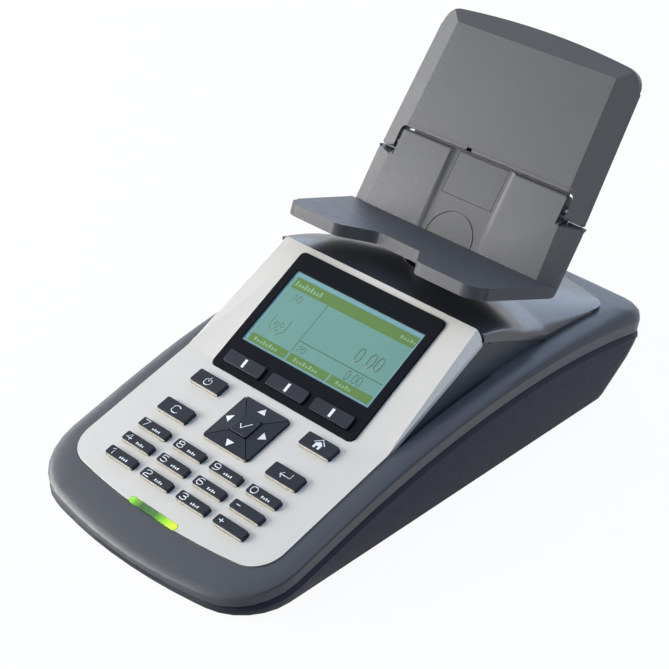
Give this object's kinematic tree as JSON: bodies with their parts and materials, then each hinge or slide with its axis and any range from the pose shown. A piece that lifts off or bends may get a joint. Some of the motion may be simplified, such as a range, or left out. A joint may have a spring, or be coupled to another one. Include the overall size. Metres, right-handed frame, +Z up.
{
  "type": "banknote counting machine",
  "caption": "Desk-top money counter that weighs notes and coins: sloped keypad and display console with a folding hopper on a load-cell post.",
  "frame": {"origin": "centre of the outer box, on the plane that the feet stand on", "axes": "+X to the operator's right, +Y from the keypad's front edge to the tail, +Z up"},
  "size_m": [0.146, 0.2749, 0.1595],
  "materials": {
    "case_grey": "fine texture",
    "saddle_gloss": "gloss",
    "fascia_silver": "satin silver",
    "window_black": "gloss",
    "lcd_teal": "clear over a lit panel",
    "bright_metal": "machined",
    "steel": "bright",
    "board_green": "solder mask",
    "silicone": "soft",
    "lime": "lit, translucent",
    "key_slate": "satin",
    "hopper_grey": "fine texture",
    "connector_black": "plain",
    "cable_grey": "plain",
    "battery_blue": "shrink sleeve",
    "foot_rubber": "matt"
  },
  "bodies": {
    "case": {"lower_case": "case_grey", "upper_case": "case_grey", "saddle_cover": "saddle_gloss", "fascia": "fascia_silver", "display_window": "window_black", "lcd_panel": "lcd_teal", "lcd_frame": "bright_metal", "display_board": "board_green", "softkey_mat": "silicone", "light_pipe": "lime", "status_leds": "lime", "key_mat": "silicone", "keypad_board": "board_green", "keypad_screws": "steel", "display_screws": "steel", "ribbon_cable": "cable_grey", "main_board": "board_green", "main_board_screws": "steel", "buzzer": "connector_black", "load_cell": "bright_metal", "load_cell_spacer": "bright_metal", "load_cell_screws": "steel", "battery_pack": "battery_blue", "battery_cover": "case_grey", "power_inlet": "connector_black", "data_port": "connector_black", "case_screws": "steel", "feet": "foot_rubber"},
    "platform": {"load_post": "bright_metal", "post_screw": "steel", "hopper": "hopper_grey", "hopper_tab": "hopper_grey", "hinge_pins": "steel"},
    "flap": {"flap": "hopper_grey"},
    "key_0": {"key_0": "key_slate"},
    "key_1": {"key_1": "key_slate"},
    "key_2": {"key_2": "key_slate"},
    "key_3": {"key_3": "key_slate"},
    "key_4": {"key_4": "key_slate"},
    "key_5": {"key_5": "key_slate"},
    "key_6": {"key_6": "key_slate"},
    "key_7": {"key_7": "key_slate"},
    "key_8": {"key_8": "key_slate"},
    "key_9": {"key_9": "key_slate"},
    "key_plus": {"key_plus": "key_slate"},
    "key_minus": {"key_minus": "key_slate"},
    "key_clear": {"key_clear": "key_slate"},
    "key_end": {"key_end": "key_slate"},
    "key_power": {"key_power": "key_slate"},
    "key_home": {"key_home": "key_slate"},
    "key_ok": {"key_ok": "key_slate"},
    "key_right": {"key_right": "key_slate"},
    "key_up": {"key_up": "key_slate"},
    "key_left": {"key_left": "key_slate"},
    "key_down": {"key_down": "key_slate"},
    "softkey_1": {"softkey_1": "key_slate"},
    "softkey_2": {"softkey_2": "key_slate"},
    "softkey_3": {"softkey_3": "key_slate"}
  },
  "joints": [
    {"name": "platform_press", "type": "slide", "parent": "case", "child": "platform", "axis": [0, 0, -1], "range_m": [0, 0.0005], "stiffness_N_per_m": 30000, "springref_m": -0.00005, "deforming": ["load_cell"]},
    {"name": "flap_fold", "type": "hinge", "parent": "platform", "child": "flap", "pos_m": [0, 0.09105, 0.10003], "axis": [1, 0, 0], "range_deg": [0, 124]},
    {"name": "key_0_press", "type": "slide", "parent": "case", "child": "key_0", "axis": [0, 0.2696, -0.963], "range_m": [0, 0.0008], "stiffness_N_per_m": 700, "deforming": ["key_mat"]},
    {"name": "key_1_press", "type": "slide", "parent": "case", "child": "key_1", "axis": [0, 0.2696, -0.963], "range_m": [0, 0.0008], "stiffness_N_per_m": 700, "deforming": ["key_mat"]},
    {"name": "key_2_press", "type": "slide", "parent": "case", "child": "key_2", "axis": [0, 0.2696, -0.963], "range_m": [0, 0.0008], "stiffness_N_per_m": 700, "deforming": ["key_mat"]},
    {"name": "key_3_press", "type": "slide", "parent": "case", "child": "key_3", "axis": [0, 0.2696, -0.963], "range_m": [0, 0.0008], "stiffness_N_per_m": 700, "deforming": ["key_mat"]},
    {"name": "key_4_press", "type": "slide", "parent": "case", "child": "key_4", "axis": [0, 0.2696, -0.963], "range_m": [0, 0.0008], "stiffness_N_per_m": 700, "deforming": ["key_mat"]},
    {"name": "key_5_press", "type": "slide", "parent": "case", "child": "key_5", "axis": [0, 0.2696, -0.963], "range_m": [0, 0.0008], "stiffness_N_per_m": 700, "deforming": ["key_mat"]},
    {"name": "key_6_press", "type": "slide", "parent": "case", "child": "key_6", "axis": [0, 0.2696, -0.963], "range_m": [0, 0.0008], "stiffness_N_per_m": 700, "deforming": ["key_mat"]},
    {"name": "key_7_press", "type": "slide", "parent": "case", "child": "key_7", "axis": [0, 0.2696, -0.963], "range_m": [0, 0.0008], "stiffness_N_per_m": 700, "deforming": ["key_mat"]},
    {"name": "key_8_press", "type": "slide", "parent": "case", "child": "key_8", "axis": [0, 0.2696, -0.963], "range_m": [0, 0.0008], "stiffness_N_per_m": 700, "deforming": ["key_mat"]},
    {"name": "key_9_press", "type": "slide", "parent": "case", "child": "key_9", "axis": [0, 0.2696, -0.963], "range_m": [0, 0.0008], "stiffness_N_per_m": 700, "deforming": ["key_mat"]},
    {"name": "key_plus_press", "type": "slide", "parent": "case", "child": "key_plus", "axis": [0, 0.2696, -0.963], "range_m": [0, 0.0008], "stiffness_N_per_m": 700, "deforming": ["key_mat"]},
    {"name": "key_minus_press", "type": "slide", "parent": "case", "child": "key_minus", "axis": [0, 0.2696, -0.963], "range_m": [0, 0.0008], "stiffness_N_per_m": 700, "deforming": ["key_mat"]},
    {"name": "key_clear_press", "type": "slide", "parent": "case", "child": "key_clear", "axis": [0, 0.2696, -0.963], "range_m": [0, 0.0008], "stiffness_N_per_m": 700, "deforming": ["key_mat"]},
    {"name": "key_end_press", "type": "slide", "parent": "case", "child": "key_end", "axis": [0, 0.2696, -0.963], "range_m": [0, 0.0008], "stiffness_N_per_m": 700, "deforming": ["key_mat"]},
    {"name": "key_power_press", "type": "slide", "parent": "case", "child": "key_power", "axis": [0, 0.2696, -0.963], "range_m": [0, 0.0008], "stiffness_N_per_m": 700, "deforming": ["key_mat"]},
    {"name": "key_home_press", "type": "slide", "parent": "case", "child": "key_home", "axis": [0, 0.2696, -0.963], "range_m": [0, 0.0008], "stiffness_N_per_m": 700, "deforming": ["key_mat"]},
    {"name": "key_ok_press", "type": "slide", "parent": "case", "child": "key_ok", "axis": [0, 0.2696, -0.963], "range_m": [0, 0.0008], "stiffness_N_per_m": 700, "deforming": ["key_mat"]},
    {"name": "key_right_press", "type": "slide", "parent": "case", "child": "key_right", "axis": [0, 0.2696, -0.963], "range_m": [0, 0.0008], "stiffness_N_per_m": 700, "deforming": ["key_mat"]},
    {"name": "key_up_press", "type": "slide", "parent": "case", "child": "key_up", "axis": [0, 0.2696, -0.963], "range_m": [0, 0.0008], "stiffness_N_per_m": 700, "deforming": ["key_mat"]},
    {"name": "key_left_press", "type": "slide", "parent": "case", "child": "key_left", "axis": [0, 0.2696, -0.963], "range_m": [0, 0.0008], "stiffness_N_per_m": 700, "deforming": ["key_mat"]},
    {"name": "key_down_press", "type": "slide", "parent": "case", "child": "key_down", "axis": [0, 0.2696, -0.963], "range_m": [0, 0.0008], "stiffness_N_per_m": 700, "deforming": ["key_mat"]},
    {"name": "softkey_1_press", "type": "slide", "parent": "case", "child": "softkey_1", "axis": [0, 0.4936, -0.8697], "range_m": [0, 0.0008], "stiffness_N_per_m": 700, "deforming": ["softkey_mat"]},
    {"name": "softkey_2_press", "type": "slide", "parent": "case", "child": "softkey_2", "axis": [0, 0.4936, -0.8697], "range_m": [0, 0.0008], "stiffness_N_per_m": 700, "deforming": ["softkey_mat"]},
    {"name": "softkey_3_press", "type": "slide", "parent": "case", "child": "softkey_3", "axis": [0, 0.4936, -0.8697], "range_m": [0, 0.0008], "stiffness_N_per_m": 700, "deforming": ["softkey_mat"]}
  ]
}
